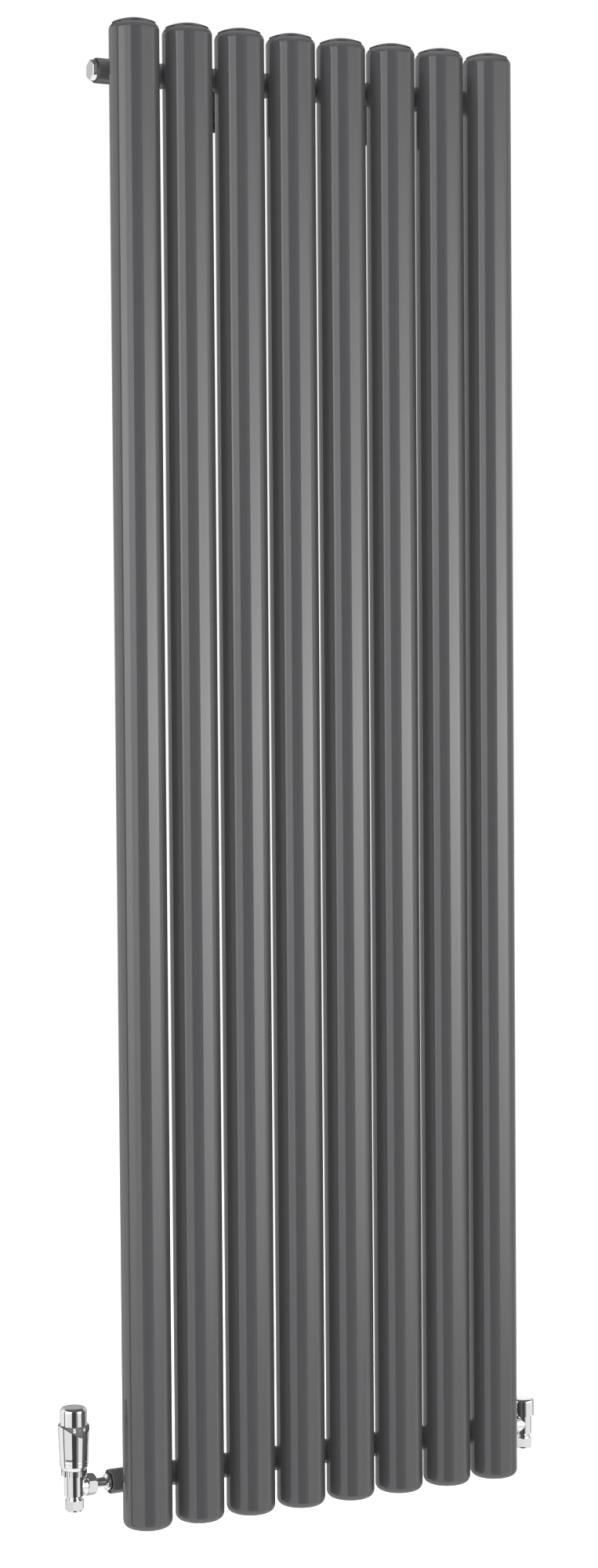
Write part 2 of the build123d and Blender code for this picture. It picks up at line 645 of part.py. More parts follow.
TRV_PIECES = {
    "trv_body": trv_body(),
    "trv_compression_nut": compression_nut(TRV_BASE),
    "trv_olive": olive(TRV_BASE),
    "trv_union_nut": union_nut(TRV_UNION_LEN),
    "trv_tailpiece": tailpiece(TRV_REACH, TRV_UNION_LEN),
    "trv_insert": trv_insert(),
    "trv_seat_disc": trv_seat_disc(),
    "trv_pin": trv_pin(),
    "trv_ring_nut": trv_ring_nut(),
    "trv_base": trv_base(),
    "trv_sleeve": trv_sleeve(),
    "trv_dial": trv_dial(),
    "trv_knob": trv_knob(),
    "trv_sensor": trv_sensor(),
}
for name, shape in TRV_PIECES.items():
    save(name, Pos(-HEADER_HALF - TRV_REACH, HEADER_Y, HEADER_LOW_Z) * shape)

LS_PIECES = {
    "lockshield_body": ls_body(),
    "lockshield_compression_nut": compression_nut(LS_BASE),
    "lockshield_olive": olive(LS_BASE),
    "lockshield_union_nut": union_nut(LS_UNION_LEN),
    "lockshield_tailpiece": tailpiece(LS_REACH, LS_UNION_LEN),
    "lockshield_gland": ls_gland(),
    "lockshield_spindle": ls_spindle(),
    "lockshield_plug": ls_plug(),
    "lockshield_cap": ls_cap(),
}
for name, shape in LS_PIECES.items():
    save(name, Pos(HEADER_HALF + LS_REACH, HEADER_Y, HEADER_LOW_Z) * Rot(0, 0, 180) * shape)
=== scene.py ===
"""Looks of a vertical column radiator with its two valves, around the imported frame."""

import math

import bmesh
import bpy
from mathutils import Matrix, Vector


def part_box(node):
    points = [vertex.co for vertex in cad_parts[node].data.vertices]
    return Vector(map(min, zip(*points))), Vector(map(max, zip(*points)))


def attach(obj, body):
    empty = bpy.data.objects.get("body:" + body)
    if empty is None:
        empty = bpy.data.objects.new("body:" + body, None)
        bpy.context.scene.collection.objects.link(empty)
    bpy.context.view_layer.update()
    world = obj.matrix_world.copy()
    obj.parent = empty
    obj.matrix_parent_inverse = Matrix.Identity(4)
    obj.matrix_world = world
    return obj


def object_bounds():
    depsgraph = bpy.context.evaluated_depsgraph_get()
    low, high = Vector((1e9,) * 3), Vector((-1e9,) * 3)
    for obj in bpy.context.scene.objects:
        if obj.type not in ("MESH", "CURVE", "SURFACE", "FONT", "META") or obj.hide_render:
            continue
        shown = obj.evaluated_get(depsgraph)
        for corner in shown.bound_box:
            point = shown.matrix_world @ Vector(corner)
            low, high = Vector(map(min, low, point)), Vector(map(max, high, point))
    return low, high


bl_info = {
    "name": "Column Radiator Finishes",
    "version": (1, 0, 0),
    "blender": (4, 5, 0),
    "location": "View3D > Sidebar > Radiator",
    "description": "Finishes, marks, weld beads, header rims and studio of a column radiator",
    "category": "Object",
}

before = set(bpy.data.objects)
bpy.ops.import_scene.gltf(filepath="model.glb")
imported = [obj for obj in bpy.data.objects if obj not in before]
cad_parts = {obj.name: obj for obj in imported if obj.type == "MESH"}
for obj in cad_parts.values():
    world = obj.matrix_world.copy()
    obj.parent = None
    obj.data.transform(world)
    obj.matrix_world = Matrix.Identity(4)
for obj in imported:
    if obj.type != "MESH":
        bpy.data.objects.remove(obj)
CAD_LOW, CAD_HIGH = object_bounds()

COLUMNS = [f"column_{index}" for index in range(1, 9)]
CAPS = [f"column_cap_{index}" for index in range(1, 9)]
HEADERS = ["header_upper", "header_lower"]
SPIGOTS = ["spigots_upper", "spigots_lower"]
LUGS = ["lug_upper_left", "lug_upper_right", "lug_lower_left", "lug_lower_right"]
BRACKETS = ["bracket_upper_left", "bracket_upper_right", "bracket_lower_left", "bracket_lower_right"]

# frame nodes that take each finish
FINISHES = {
    "Anthracite Gloss": [*COLUMNS, *CAPS, *HEADERS, *SPIGOTS, *LUGS, "header_bushes"],
    "Bracket Satin": BRACKETS,
    "Polished Chrome": ["blanking_plug", "vent_plug", "trv_sleeve", "trv_knob", "trv_ring_nut",
                        "trv_union_nut", "trv_tailpiece", "lockshield_cap", "lockshield_union_nut",
                        "lockshield_tailpiece", "trv_body", "lockshield_body",
                        "trv_compression_nut", "lockshield_compression_nut"],
    "Turned Brass": ["bleed_screw", "trv_olive", "lockshield_olive", "trv_insert", "lockshield_gland",
                     "lockshield_spindle", "lockshield_plug", "trv_sensor"],
    "Pin Steel": ["trv_pin"],
    "Black Rubber": ["blanking_washer", "vent_washer", "trv_seat_disc"],
    "Dial Grey": ["trv_dial"],
    "Head Base Grey": ["trv_base"],
    "Liner Nylon": ["tongue_liners"],
}

# unevenness of each finish, as name: (tone change, patch scale, roughness change, grain scale, grain depth)
UNEVENNESS = {
    "Anthracite Gloss": (0.08, 3.0, 0.03, 260.0, 0.12),
    "Bracket Satin": (0.15, 20.0, 0.1, 700.0, 0.3),
    "Polished Chrome": (0.04, 60.0, 0.03, 500.0, 0.03),
    "Turned Brass": (0.12, 80.0, 0.1, 1500.0, 0.2),
    "Pin Steel": (0.08, 80.0, 0.1, 1500.0, 0.1),
    "Black Rubber": (0.2, 60.0, 0.15, 1800.0, 0.4),
    "Dial Grey": (0.08, 40.0, 0.1, 1200.0, 0.2),
    "Dial Mark White": (0.05, 300.0, 0.1, 1500.0, 0.1),
    "Index Black": (0.1, 300.0, 0.1, 1500.0, 0.1),
    "Head Base Grey": (0.1, 50.0, 0.1, 1200.0, 0.3),
    "Liner Nylon": (0.08, 60.0, 0.1, 1200.0, 0.2),
    "Weld Paint": (0.12, 30.0, 0.08, 350.0, 0.5),
}
PAINT_SPECULAR = 0.75
WELD_ROUGHER = 0.06        # how much rougher the paint is on a weld bead

TEXT_PER_DIGIT = 1.42      # text size that gives a number of height 1
DIGIT_SWELL = 0.00022      # thickening of the numbers' strokes
DOT_RADIUS = 0.00045
BEAD_RING_RADIUS = 0.0102  # just outside a spigot
MERGE_DISTANCE = 1e-6


# sizes and colours

class RadiatorFinishSettings(bpy.types.PropertyGroup):
    """Colours and surface values of the radiator"""
    paint: bpy.props.FloatVectorProperty(
        name="Paint", description="Colour of the gloss paint on the columns and headers",
        subtype="COLOR", size=3, min=0, max=1, default=(0.066, 0.066, 0.069))
    paint_roughness: bpy.props.FloatProperty(
        name="Paint Roughness", description="Mean roughness of the gloss paint",
        subtype="FACTOR", min=0, max=1, default=0.085)
    chrome: bpy.props.FloatVectorProperty(
        name="Chrome", description="Colour of the plating", subtype="COLOR", size=3, min=0, max=1,
        default=(0.92, 0.92, 0.93))
    chrome_roughness: bpy.props.FloatProperty(
        name="Chrome Roughness", description="Mean roughness of the plating",
        subtype="FACTOR", min=0, max=1, default=0.06)
    dial: bpy.props.FloatVectorProperty(
        name="Dial", description="Colour of the dial band", subtype="COLOR", size=3, min=0, max=1,
        default=(0.13, 0.13, 0.135))
    marks: bpy.props.FloatVectorProperty(
        name="Marks", description="Colour of the dial's numbers and dots",
        subtype="COLOR", size=3, min=0, max=1, default=(0.86, 0.86, 0.86))


class RadiatorMarkSettings(bpy.types.PropertyGroup):
    """Sizes of the dial marks, index line, weld beads and header rims"""
    digit_height: bpy.props.FloatProperty(
        name="Digit Height", description="Height of each number on the dial",
        unit="LENGTH", default=0.0048)
    digit_drop: bpy.props.FloatProperty(
        name="Digit Drop", description="Distance from the dial's top to the middle of the numbers",
        unit="LENGTH", default=0.0043)
    mark_depth: bpy.props.FloatProperty(
        name="Mark Depth", description="How far the dial marks and the index line stand out",
        unit="LENGTH", default=0.00015)
    digit_step: bpy.props.FloatProperty(
        name="Digit Step", description="Angle from one number to the next",
        subtype="ANGLE", default=math.radians(45))
    digit_four: bpy.props.FloatProperty(
        name="Four Bearing", description="Angle of the number four from the front, to the right",
        subtype="ANGLE", default=math.radians(26.3))
    line_level: bpy.props.FloatProperty(
        name="Line Level", description="Height of the index line over the sleeve's lower end",
        unit="LENGTH", default=0.0139)
    line_height: bpy.props.FloatProperty(
        name="Line Height", description="Height of the index line",
        unit="LENGTH", default=0.0017)
    line_sweep: bpy.props.FloatProperty(
        name="Line Sweep", description="Angle that the index line runs round the sleeve",
        subtype="ANGLE", default=math.radians(36))
    line_bearing: bpy.props.FloatProperty(
        name="Line Bearing", description="Angle of the index line's middle from the front, to the right",
        subtype="ANGLE", default=math.radians(-37))
    bead_radius: bpy.props.FloatProperty(
        name="Weld Bead", description="Radius of a weld bead's section",
        unit="LENGTH", default=0.0011)
    rim_radius: bpy.props.FloatProperty(
        name="Header Rim", description="Radius of the rounding on a header's cut end",
        unit="LENGTH", default=0.0009)


class RadiatorStudioSettings(bpy.types.PropertyGroup):
    """Camera, floor and lights"""
    lens: bpy.props.FloatProperty(
        name="Lens", description="Focal length", unit="CAMERA", default=68.08)
    camera_place: bpy.props.FloatVectorProperty(
        name="Camera Place", description="Camera position", subtype="TRANSLATION", size=3,
        default=(-1.67088, -3.32551, 0.15103))
    camera_turn: bpy.props.FloatVectorProperty(
        name="Camera Turn", description="Camera rotation", subtype="EULER", size=3,
        default=(math.radians(87.816), math.radians(0.429), math.radians(-26.881)))
    floor_drop: bpy.props.FloatProperty(
        name="Floor Drop", description="Height of the radiator's lowest point over the floor",
        unit="LENGTH", default=0.3)
    ambient: bpy.props.FloatProperty(
        name="Ambient", description="Brightness of the studio's general light",
        min=0, max=4, default=0.45)
    ceiling_rise: bpy.props.FloatProperty(
        name="Ceiling Rise", description="Height of the ceiling card over the radiator",
        unit="LENGTH", default=1.2)
    front: bpy.props.FloatProperty(
        name="Front Light", description="Power of the narrow softbox beside the camera",
        unit="POWER", min=0, max=500, default=82)
    left: bpy.props.FloatProperty(
        name="Left Light", description="Power of the softbox on the left",
        unit="POWER", min=0, max=500, default=24)
    right: bpy.props.FloatProperty(
        name="Right Light", description="Power of the softbox on the right",
        unit="POWER", min=0, max=500, default=24)
    back: bpy.props.FloatProperty(
        name="Back Light", description="Power of the softbox behind the radiator",
        unit="POWER", min=0, max=500, default=60)
    top: bpy.props.FloatProperty(
        name="Top Light", description="Power of the softbox over the radiator",
        unit="POWER", min=0, max=500, default=45)


# shared node work

def add_node(tree, kind, **values):
    node = tree.nodes.new(kind)
    for name, value in values.items():
        setattr(node, name, value)
    return node


def new_group(name, inputs, outputs):
    """An empty shader node group with named sockets: {name: (socket type, default)}."""
    tree = bpy.data.node_groups.new(name, "ShaderNodeTree")
    for label, (kind, default) in inputs.items():
        socket = tree.interface.new_socket(label, in_out="INPUT", socket_type=kind)
        if default is not None:
            socket.default_value = default
    for label, kind in outputs.items():
        tree.interface.new_socket(label, in_out="OUTPUT", socket_type=kind)
    return tree, add_node(tree, "NodeGroupInput"), add_node(tree, "NodeGroupOutput")


def scaled_noise(tree, source, vector, scale, detail):
    noise = add_node(tree, "ShaderNodeTexNoise")
    noise.inputs["Detail"].default_value = detail
    tree.links.new(source.outputs[vector], noise.inputs["Vector"])
    tree.links.new(source.outputs[scale], noise.inputs["Scale"])
    return noise


def ranged(tree, value, low, high):
    """Maps a 0 to 1 value onto low..high, where each is a number or a socket."""
    node = add_node(tree, "ShaderNodeMapRange")
    tree.links.new(value, node.inputs["Value"])
    for label, end in (("To Min", low), ("To Max", high)):
        if isinstance(end, (int, float)):
            node.inputs[label].default_value = end
        else:
            tree.links.new(end, node.inputs[label])
    return node.outputs["Result"]


def make_surface_group():
    """Fine unevenness of a finish: a tone change, a roughness change and a relief."""
    tree, source, result = new_group(
        "Surface Variation",
        {"Vector": ("NodeSocketVector", None), "Color": ("NodeSocketColor", (0.5, 0.5, 0.5, 1)),
         "Tone Change": ("NodeSocketFloat", 0.06), "Patch Scale": ("NodeSocketFloat", 8.0),
         "Roughness": ("NodeSocketFloat", 0.3), "Roughness Change": ("NodeSocketFloat", 0.05),
         "Grain Scale": ("NodeSocketFloat", 400.0), "Grain Depth": ("NodeSocketFloat", 0.1)},
        {"Color": "NodeSocketColor", "Roughness": "NodeSocketFloat", "Normal": "NodeSocketVector"})
    patches = scaled_noise(tree, source, "Vector", "Patch Scale", 3)
    grain = scaled_noise(tree, source, "Vector", "Grain Scale", 2)
    low = add_node(tree, "ShaderNodeMath", operation="SUBTRACT")
    low.inputs[0].default_value = 1
    tree.links.new(source.outputs["Tone Change"], low.inputs[1])
    tone = ranged(tree, patches.outputs["Fac"], low.outputs[0], 1.0)
    shade = add_node(tree, "ShaderNodeMix", data_type="RGBA", blend_type="MULTIPLY")
    shade.inputs["Factor"].default_value = 1
    tree.links.new(source.outputs["Color"], shade.inputs["A"])
    tree.links.new(tone, shade.inputs["B"])
    shine = add_node(tree, "ShaderNodeMath", operation="MULTIPLY_ADD")
    tree.links.new(patches.outputs["Fac"], shine.inputs[0])
    tree.links.new(source.outputs["Roughness Change"], shine.inputs[1])
    tree.links.new(source.outputs["Roughness"], shine.inputs[2])
    relief = add_node(tree, "ShaderNodeBump")
    relief.inputs["Distance"].default_value = 0.0001
    tree.links.new(source.outputs["Grain Depth"], relief.inputs["Strength"])
    tree.links.new(grain.outputs["Fac"], relief.inputs["Height"])
    tree.links.new(shade.outputs["Result"], result.inputs["Color"])
    tree.links.new(shine.outputs[0], result.inputs["Roughness"])
    tree.links.new(relief.outputs["Normal"], result.inputs["Normal"])
    return tree


def make_finish(name, group, colour, roughness, **sockets):
    """A Principled material dressed with the shared surface variation."""
    tone, patch, change, grain, depth = UNEVENNESS[name]
    material = bpy.data.materials.new(name)
    material.use_nodes = True
    tree = material.node_tree
    shader = next(node for node in tree.nodes if node.type == "BSDF_PRINCIPLED")
    for label, value in sockets.items():
        shader.inputs[label.replace("_", " ")].default_value = value
    place = add_node(tree, "ShaderNodeTexCoord")
    variation = add_node(tree, "ShaderNodeGroup", node_tree=group)
    tree.links.new(place.outputs["Object"], variation.inputs["Vector"])
    values = {"Color": (*colour, 1), "Tone Change": tone, "Patch Scale": patch, "Roughness": roughness,
              "Roughness Change": change, "Grain Scale": grain, "Grain Depth": depth}
    for label, value in values.items():
        variation.inputs[label].default_value = value
    tree.links.new(variation.outputs["Color"], shader.inputs["Base Color"])
    tree.links.new(variation.outputs["Roughness"], shader.inputs["Roughness"])
    tree.links.new(variation.outputs["Normal"], shader.inputs["Normal"])
    return material


def keep_piece(name, mesh, body, material):
    """Links a finished mesh as a piece that rides on a body."""
    piece = bpy.data.objects.new(name, mesh)
    bpy.context.scene.collection.objects.link(piece)
    mesh.materials.clear()
    mesh.materials.append(material)
    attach(piece, body)
    return piece


def axis_of(node):
    """Centre of a node's box in x and y."""
    low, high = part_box(node)
    return (low.x + high.x) / 2, (low.y + high.y) / 2


# pieces

class RADIATOR_OT_finishes(bpy.types.Operator):
    """Gives every frame node its paint, plating, metal, rubber or plastic"""
    bl_idname = "radiator.finishes"
    bl_label = "Finishes"

    def execute(self, context):
        finish = context.scene.radiator_finish
        group = make_surface_group()
        make_finish("Anthracite Gloss", group, finish.paint, finish.paint_roughness,
                    Specular_IOR_Level=PAINT_SPECULAR)
        make_finish("Bracket Satin", group, (0.03, 0.03, 0.032), 0.4)
        make_finish("Polished Chrome", group, finish.chrome, finish.chrome_roughness, Metallic=1.0)
        make_finish("Turned Brass", group, (0.78, 0.6, 0.32), 0.22, Metallic=1.0)
        make_finish("Pin Steel", group, (0.6, 0.6, 0.6), 0.25, Metallic=1.0)
        make_finish("Black Rubber", group, (0.02, 0.02, 0.02), 0.6)
        make_finish("Dial Grey", group, finish.dial, 0.35)
        make_finish("Dial Mark White", group, finish.marks, 0.45)
        make_finish("Index Black", group, (0.02, 0.02, 0.02), 0.45)
        make_finish("Head Base Grey", group, (0.16, 0.16, 0.16), 0.4)
        make_finish("Liner Nylon", group, (0.55, 0.54, 0.52), 0.45)
        make_finish("Weld Paint", group, finish.paint, finish.paint_roughness + WELD_ROUGHER,
                    Specular_IOR_Level=PAINT_SPECULAR)
        for name, nodes in FINISHES.items():
            for node in nodes:
                for material_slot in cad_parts[node].material_slots:
                    material_slot.material = bpy.data.materials[name]
        return {"FINISHED"}


def wrap_round(mesh, centre, radius, bearing, level):
    """Bends a flat upright mark round an upright axis; x runs to the right of the front."""
    for vertex in mesh.vertices:
        turn = bearing + vertex.co.x / radius
        out = radius + vertex.co.z
        vertex.co = (centre[0] + out * math.sin(turn), centre[1] - out * math.cos(turn),
                     level + vertex.co.y)


class RADIATOR_OT_dial_marks(bpy.types.Operator):
    """Raised numbers from 0 to 5 on the dial band, with a dot between each two"""
    bl_idname = "radiator.dial_marks"
    bl_label = "Dial Marks"

    def execute(self, context):
        marks = context.scene.radiator_marks
        low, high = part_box("trv_dial")
        centre = axis_of("trv_dial")
        radius = (high.x - low.x) / 2
        level = high.z - marks.digit_drop
        material = bpy.data.materials["Dial Mark White"]
        whole = bmesh.new()
        for digit in range(6):
            bearing = marks.digit_four + (4 - digit) * marks.digit_step
            text = bpy.data.curves.new(f"digit_{digit}", "FONT")
            text.body = str(digit)
            text.size = marks.digit_height * TEXT_PER_DIGIT
            text.align_x = "CENTER"
            text.align_y = "CENTER"
            text.offset = DIGIT_SWELL
            text.extrude = marks.mark_depth
            text.resolution_u = 3
            holder = bpy.data.objects.new(f"digit_{digit}_text", text)
            context.scene.collection.objects.link(holder)
            context.view_layer.update()
            solid = holder.evaluated_get(context.evaluated_depsgraph_get())
            mesh = bpy.data.meshes.new_from_object(solid)
            bpy.data.objects.remove(holder)
            wrap_round(mesh, centre, radius, bearing, level)
            whole.from_mesh(mesh)
            bpy.data.meshes.remove(mesh)
        for gap in range(5):
            bearing = marks.digit_four + (3.5 - gap) * marks.digit_step
            turn = Matrix.Rotation(bearing, 4, "Z") @ Matrix.Rotation(math.pi / 2, 4, "X")
            spot = Matrix.Translation((centre[0], centre[1], level))
            away = Matrix.Translation((0, 0, radius))
            bmesh.ops.create_cone(whole, cap_ends=True, segments=12, radius1=DOT_RADIUS,
                                  radius2=DOT_RADIUS, depth=2 * marks.mark_depth,
                                  matrix=spot @ turn @ away)
        bmesh.ops.remove_doubles(whole, verts=whole.verts, dist=MERGE_DISTANCE)
        bmesh.ops.recalc_face_normals(whole, faces=whole.faces)
        mesh = bpy.data.meshes.new("dial_marks")
        whole.to_mesh(mesh)
        whole.free()
        keep_piece("dial_marks", mesh, "thermostat_head", material)
        return {"FINISHED"}


class RADIATOR_OT_index_line(bpy.types.Operator):
    """Short dark index line low on the front left of the thermostat's sleeve"""
    bl_idname = "radiator.index_line"
    bl_label = "Index Line"

    def execute(self, context):
        marks = context.scene.radiator_marks
        centre = axis_of("trv_sleeve")
        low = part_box("trv_sleeve")[0]
        level = low.z + marks.line_level
        outside = Vector((centre[0], low.y - 1, level))
        found, touch, *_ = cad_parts["trv_sleeve"].ray_cast(outside, Vector((0, 1, 0)))
        if not found:
            raise RuntimeError("the index line misses the sleeve")
        radius = centre[1] - touch.y
        strip = bmesh.new()
        size = Matrix.Diagonal((radius * marks.line_sweep, marks.line_height, 1, 1))
        bmesh.ops.create_grid(strip, x_segments=16, y_segments=1, size=0.5,
                              matrix=Matrix.Translation((0, 0, -marks.mark_depth)) @ size)
        extruded = bmesh.ops.extrude_face_region(strip, geom=strip.faces[:])
        raised = [item for item in extruded["geom"] if isinstance(item, bmesh.types.BMVert)]
        bmesh.ops.translate(strip, verts=raised, vec=(0, 0, 2 * marks.mark_depth))
        bmesh.ops.recalc_face_normals(strip, faces=strip.faces)
        mesh = bpy.data.meshes.new("index_line")
        strip.to_mesh(mesh)
        strip.free()
        wrap_round(mesh, centre, radius, marks.line_bearing, level)
        # the sleeve stays still while the dial turns in it, so its line rides on the radiator
        keep_piece("index_line", mesh, "radiator", bpy.data.materials["Index Black"])
        return {"FINISHED"}


def spun_ring(shape, matrix, ring_radius, section_radius):
    """Adds a closed ring, a small round section spun about the matrix's z axis."""
    section = bmesh.ops.create_circle(
        shape, cap_ends=False, segments=8, radius=section_radius,
        matrix=matrix @ Matrix.Translation((ring_radius, 0, 0)) @ Matrix.Rotation(math.pi / 2, 4, "X"))
    edges = list({edge for vertex in section["verts"] for edge in vertex.link_edges})
    bmesh.ops.spin(shape, geom=[*section["verts"], *edges], cent=matrix.translation,
                   axis=(matrix.to_3x3() @ Vector((0, 0, 1))), angle=math.tau, steps=32, use_merge=True)


def closed_mesh(name, shape):
    """Merges a spun shape's seams, turns its faces outwards and smooths it."""
    bmesh.ops.remove_doubles(shape, verts=shape.verts, dist=MERGE_DISTANCE)
    bmesh.ops.recalc_face_normals(shape, faces=shape.faces)
    for face in shape.faces:
        face.smooth = True
    mesh = bpy.data.meshes.new(name)
    shape.to_mesh(mesh)
    shape.free()
    return mesh


class RADIATOR_OT_weld_beads(bpy.types.Operator):
    """Weld beads between every column and its headers"""
    bl_idname = "radiator.weld_beads"
    bl_label = "Weld Beads"

    def execute(self, context):
        marks = context.scene.radiator_marks
        beads = bmesh.new()
        for header in HEADERS:
            low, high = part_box(header)
            level = (low.z + high.z) / 2
            for column in COLUMNS:
                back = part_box(column)[1].y
                place = Matrix.Translation((axis_of(column)[0], (back + low.y) / 2, level))
                spun_ring(beads, place @ Matrix.Rotation(math.pi / 2, 4, "X"), BEAD_RING_RADIUS,
                          marks.bead_radius)
        keep_piece("weld_beads", closed_mesh("weld_beads", beads), "radiator",
                   bpy.data.materials["Weld Paint"])
        return {"FINISHED"}


class RADIATOR_OT_header_rims(bpy.types.Operator):
    """Rounded painted rims round the cut ends of the headers"""
    bl_idname = "radiator.header_rims"
    bl_label = "Header Rims"

    def execute(self, context):
        rims = bmesh.new()
        section = context.scene.radiator_marks.rim_radius
        for header in HEADERS:
            low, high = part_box(header)
            radius = (high.z - low.z) / 2 - section
            for x in (low.x, high.x):
                place = Matrix.Translation((x, (low.y + high.y) / 2, (low.z + high.z) / 2))
                spun_ring(rims, place @ Matrix.Rotation(math.pi / 2, 4, "Y"), radius, section)
        keep_piece("header_rims", closed_mesh("header_rims", rims), "radiator",
                   bpy.data.materials["Anthracite Gloss"])
        return {"FINISHED"}


# studio

# cards that only gloss mirrors, as name: (left bearing, right bearing, distance,
# edge glow, centre glow, centre height, reach), with bearings in degrees from the front, to the right
CARDS = {
    "wall_card": (-215, -183, 3.0, 0.4, 0.4, 0.0, 1.0),
    "wall_inner_card": (-183, -150, 3.0, 0.58, 0.58, 0.0, 1.0),
    "back_card": (-150, -105, 3.0, 0.92, 0.92, 0.0, 1.0),
    "line_card": (-106, -98, 3.1, 0.03, 0.03, 0.0, 1.0),
    "left_card": (-98, -68, 3.6, 0.8, 3.0, 0.6, 2.3),
    "left_inner_card": (-68, -41, 3.6, 0.82, 1.7, 0.6, 2.3),
    "dark_card": (-41, 8, 3.9, 0.05, 0.05, 0.0, 1.0),
    "stripe_card": (-6, 8, 3.8, 0.26, 0.26, 0.0, 1.0),
    "right_card": (8, 63, 3.6, 0.84, 3.8, 0.0, 1.6),
    "far_right_card": (76, 140, 3.0, 0.55, 0.55, 0.0, 1.0),
}

CARD_HEIGHT = 7.0
CEILING_SIZE = 9.0
CEILING_GLOW = 0.12
FLOOR_SIZE = 30.0
FLOOR_GLOW = 0.66          # whitens the floor for the camera, on top of the light that falls on it

# softboxes round the radiator, as name: (bearing, distance, rise, width, height)
LAMPS = {
    "front": (-27.0, 3.8, 0.5, 0.25, 1.6),
    "left": (-75.0, 3.6, 0.3, 1.6, 1.8),
    "right": (40.0, 3.6, 0.3, 1.6, 1.8),
    "back": (200.0, 3.6, 0.3, 1.6, 1.8),
}
TOP_LAMP_SIZE = (1.4, 0.8)


def area_lamp(name, place, aim, size, power):
    """A softbox that lights matt surfaces only: neither gloss nor the camera sees it."""
    lamp = bpy.data.lights.new(name, "AREA")
    lamp.shape = "RECTANGLE"
    lamp.size, lamp.size_y = size
    lamp.energy = power
    holder = bpy.data.objects.new(name, lamp)
    bpy.context.scene.collection.objects.link(holder)
    holder.location = place
    holder.rotation_euler = (aim - holder.location).to_track_quat("-Z", "Y").to_euler()
    holder.visible_glossy = False
    holder.visible_camera = False


def step_away(turn, distance):
    """Level step of a length on a bearing from the front, to the right."""
    return Vector((math.sin(turn), -math.cos(turn), 0)) * distance


def matt_finish(name, tone):
    material = bpy.data.materials.new(name)
    material.use_nodes = True
    shader = next(node for node in material.node_tree.nodes if node.type == "BSDF_PRINCIPLED")
    shader.inputs["Base Color"].default_value = (tone, tone, tone, 1)
    shader.inputs["Roughness"].default_value = 0.9
    shader.inputs["Specular IOR Level"].default_value = 0
    shader.inputs["Emission Color"].default_value = (1, 1, 1, 1)
    return material, shader


def glow_finish(name, edge, centre, height, reach):
    """A black card whose glow falls off above and below a height."""
    material, shader = matt_finish(name, 0)
    tree = material.node_tree
    place = add_node(tree, "ShaderNodeTexCoord")
    stretch = add_node(tree, "ShaderNodeMapping")
    stretch.inputs["Location"].default_value = (0, 0, -height / reach)
    stretch.inputs["Scale"].default_value = (0, 0, 1 / reach)
    falloff = add_node(tree, "ShaderNodeTexGradient", gradient_type="SPHERICAL")
    tree.links.new(place.outputs["Object"], stretch.inputs["Vector"])
    tree.links.new(stretch.outputs["Vector"], falloff.inputs["Vector"])
    tree.links.new(ranged(tree, falloff.outputs["Fac"], edge, centre), shader.inputs["Emission Strength"])
    return material


def glossy_only(plane):
    plane.visible_camera = False
    plane.visible_diffuse = False
    plane.visible_shadow = False


def studio_plane(name, matrix, width, height, material):
    shape = bmesh.new()
    bmesh.ops.create_grid(shape, x_segments=1, y_segments=1, size=0.5,
                          matrix=matrix @ Matrix.Diagonal((width, height, 1, 1)))
    mesh = bpy.data.meshes.new(name)
    shape.to_mesh(mesh)
    shape.free()
    mesh.materials.append(material)
    plane = bpy.data.objects.new(name, mesh)
    bpy.context.scene.collection.objects.link(plane)
    return plane


def seen_as_background(tree):
    """1 for a ray from the camera, off gloss or through glass, else 0."""
    path = add_node(tree, "ShaderNodeLightPath")
    first = add_node(tree, "ShaderNodeMath", operation="MAXIMUM")
    second = add_node(tree, "ShaderNodeMath", operation="MAXIMUM")
    tree.links.new(path.outputs["Is Camera Ray"], first.inputs[0])
    tree.links.new(path.outputs["Is Glossy Ray"], first.inputs[1])
    tree.links.new(first.outputs[0], second.inputs[0])
    tree.links.new(path.outputs["Is Transmission Ray"], second.inputs[1])
    return second.outputs[0]


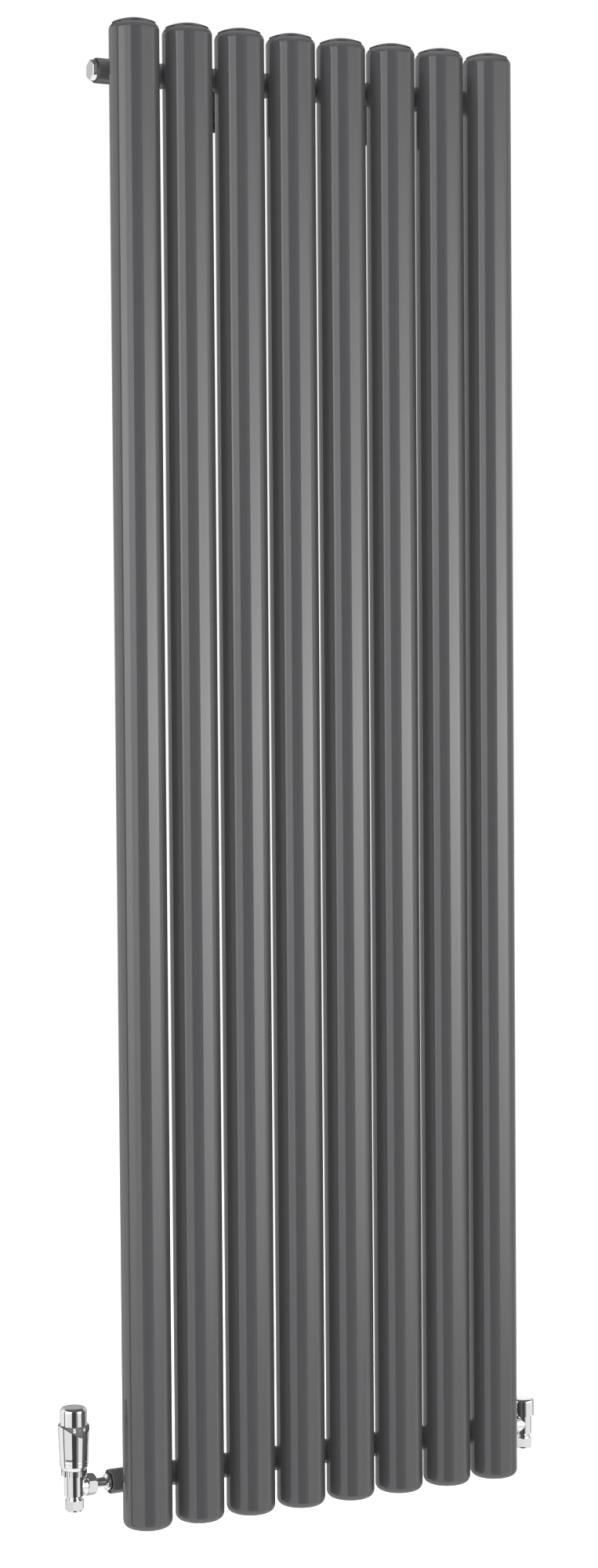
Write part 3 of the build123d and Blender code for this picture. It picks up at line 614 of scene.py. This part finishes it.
class RADIATOR_OT_stage(bpy.types.Operator):
    """Camera, white surroundings, pale floor, mirrored cards and softboxes"""
    bl_idname = "radiator.stage"
    bl_label = "Stage"

    def execute(self, context):
        studio = context.scene.radiator_studio
        low, high = CAD_LOW, CAD_HIGH
        camera_data = bpy.data.cameras.new("radiator_camera")
        camera_data.lens = studio.lens
        camera_data.sensor_width = 36
        camera_data.clip_end = 100
        camera = bpy.data.objects.new("radiator_camera", camera_data)
        context.scene.collection.objects.link(camera)
        camera.location = studio.camera_place
        camera.rotation_euler = studio.camera_turn
        context.scene.camera = camera

        world = bpy.data.worlds.new("Studio White")
        world.use_nodes = True
        tree = world.node_tree
        light = next(node for node in tree.nodes if node.type == "BACKGROUND")
        light.inputs["Color"].default_value = (1, 1, 1, 1)
        tree.links.new(ranged(tree, seen_as_background(tree), studio.ambient, 1.0),
                       light.inputs["Strength"])
        context.scene.world = world

        pale, shader = matt_finish("Floor Pale", 0.95)
        tree = pale.node_tree
        tree.links.new(ranged(tree, seen_as_background(tree), 0.0, FLOOR_GLOW),
                       shader.inputs["Emission Strength"])
        floor = studio_plane("floor", Matrix.Translation((0, 0, low.z - studio.floor_drop)),
                             FLOOR_SIZE, FLOOR_SIZE, pale)
        floor.visible_glossy = False

        middle = (low + high) / 2
        for name, (left, right, distance, *glow) in CARDS.items():
            turn = math.radians((left + right) / 2)
            width = 2 * distance * math.tan(math.radians(right - left) / 2)
            upright = Matrix.Rotation(turn, 4, "Z") @ Matrix.Rotation(math.pi / 2, 4, "X")
            matrix = Matrix.Translation(middle + step_away(turn, distance)) @ upright
            glossy_only(studio_plane(name, matrix, width, CARD_HEIGHT, glow_finish(name, *glow)))
        overhead = Vector((middle.x, middle.y, high.z + studio.ceiling_rise))
        glossy_only(studio_plane("ceiling_card", Matrix.Translation(overhead), CEILING_SIZE, CEILING_SIZE,
                                 glow_finish("ceiling_card", CEILING_GLOW, CEILING_GLOW, 0, 1)))

        for name, (bearing, distance, rise, *size) in LAMPS.items():
            place = middle + step_away(math.radians(bearing), distance) + Vector((0, 0, rise))
            area_lamp(f"{name}_lamp", place, middle, size, getattr(studio, name))
        area_lamp("top_lamp", overhead, middle, TOP_LAMP_SIZE, studio.top)
        return {"FINISHED"}


class RADIATOR_PT_panel(bpy.types.Panel):
    """Lists the radiator's steps and settings"""
    bl_idname = "RADIATOR_PT_panel"
    bl_label = "Radiator"
    bl_space_type = "VIEW_3D"
    bl_region_type = "UI"
    bl_category = "Radiator"

    def draw(self, context):
        for step in STEPS:
            self.layout.operator(step.bl_idname)
        for settings in (context.scene.radiator_finish, context.scene.radiator_marks,
                         context.scene.radiator_studio):
            column = self.layout.column(align=True)
            for name in settings.__annotations__:
                column.prop(settings, name)


STEPS = (RADIATOR_OT_finishes, RADIATOR_OT_dial_marks, RADIATOR_OT_index_line,
         RADIATOR_OT_weld_beads, RADIATOR_OT_header_rims, RADIATOR_OT_stage)
SETTINGS = {"radiator_finish": RadiatorFinishSettings, "radiator_marks": RadiatorMarkSettings,
            "radiator_studio": RadiatorStudioSettings}


def register():
    for name, group in SETTINGS.items():
        bpy.utils.register_class(group)
        setattr(bpy.types.Scene, name, bpy.props.PointerProperty(type=group))
    for step in (*STEPS, RADIATOR_PT_panel):
        bpy.utils.register_class(step)


def unregister():
    for step in reversed((*STEPS, RADIATOR_PT_panel)):
        bpy.utils.unregister_class(step)
    for name, group in SETTINGS.items():
        delattr(bpy.types.Scene, name)
        bpy.utils.unregister_class(group)


def main():
    register()
    bpy.ops.radiator.finishes()
    bpy.ops.radiator.dial_marks()
    bpy.ops.radiator.index_line()
    bpy.ops.radiator.weld_beads()
    bpy.ops.radiator.header_rims()
    bpy.ops.radiator.stage()
    context = bpy.context
    context.scene.view_settings.view_transform = "Standard"


if __name__ == "__main__":
    main()
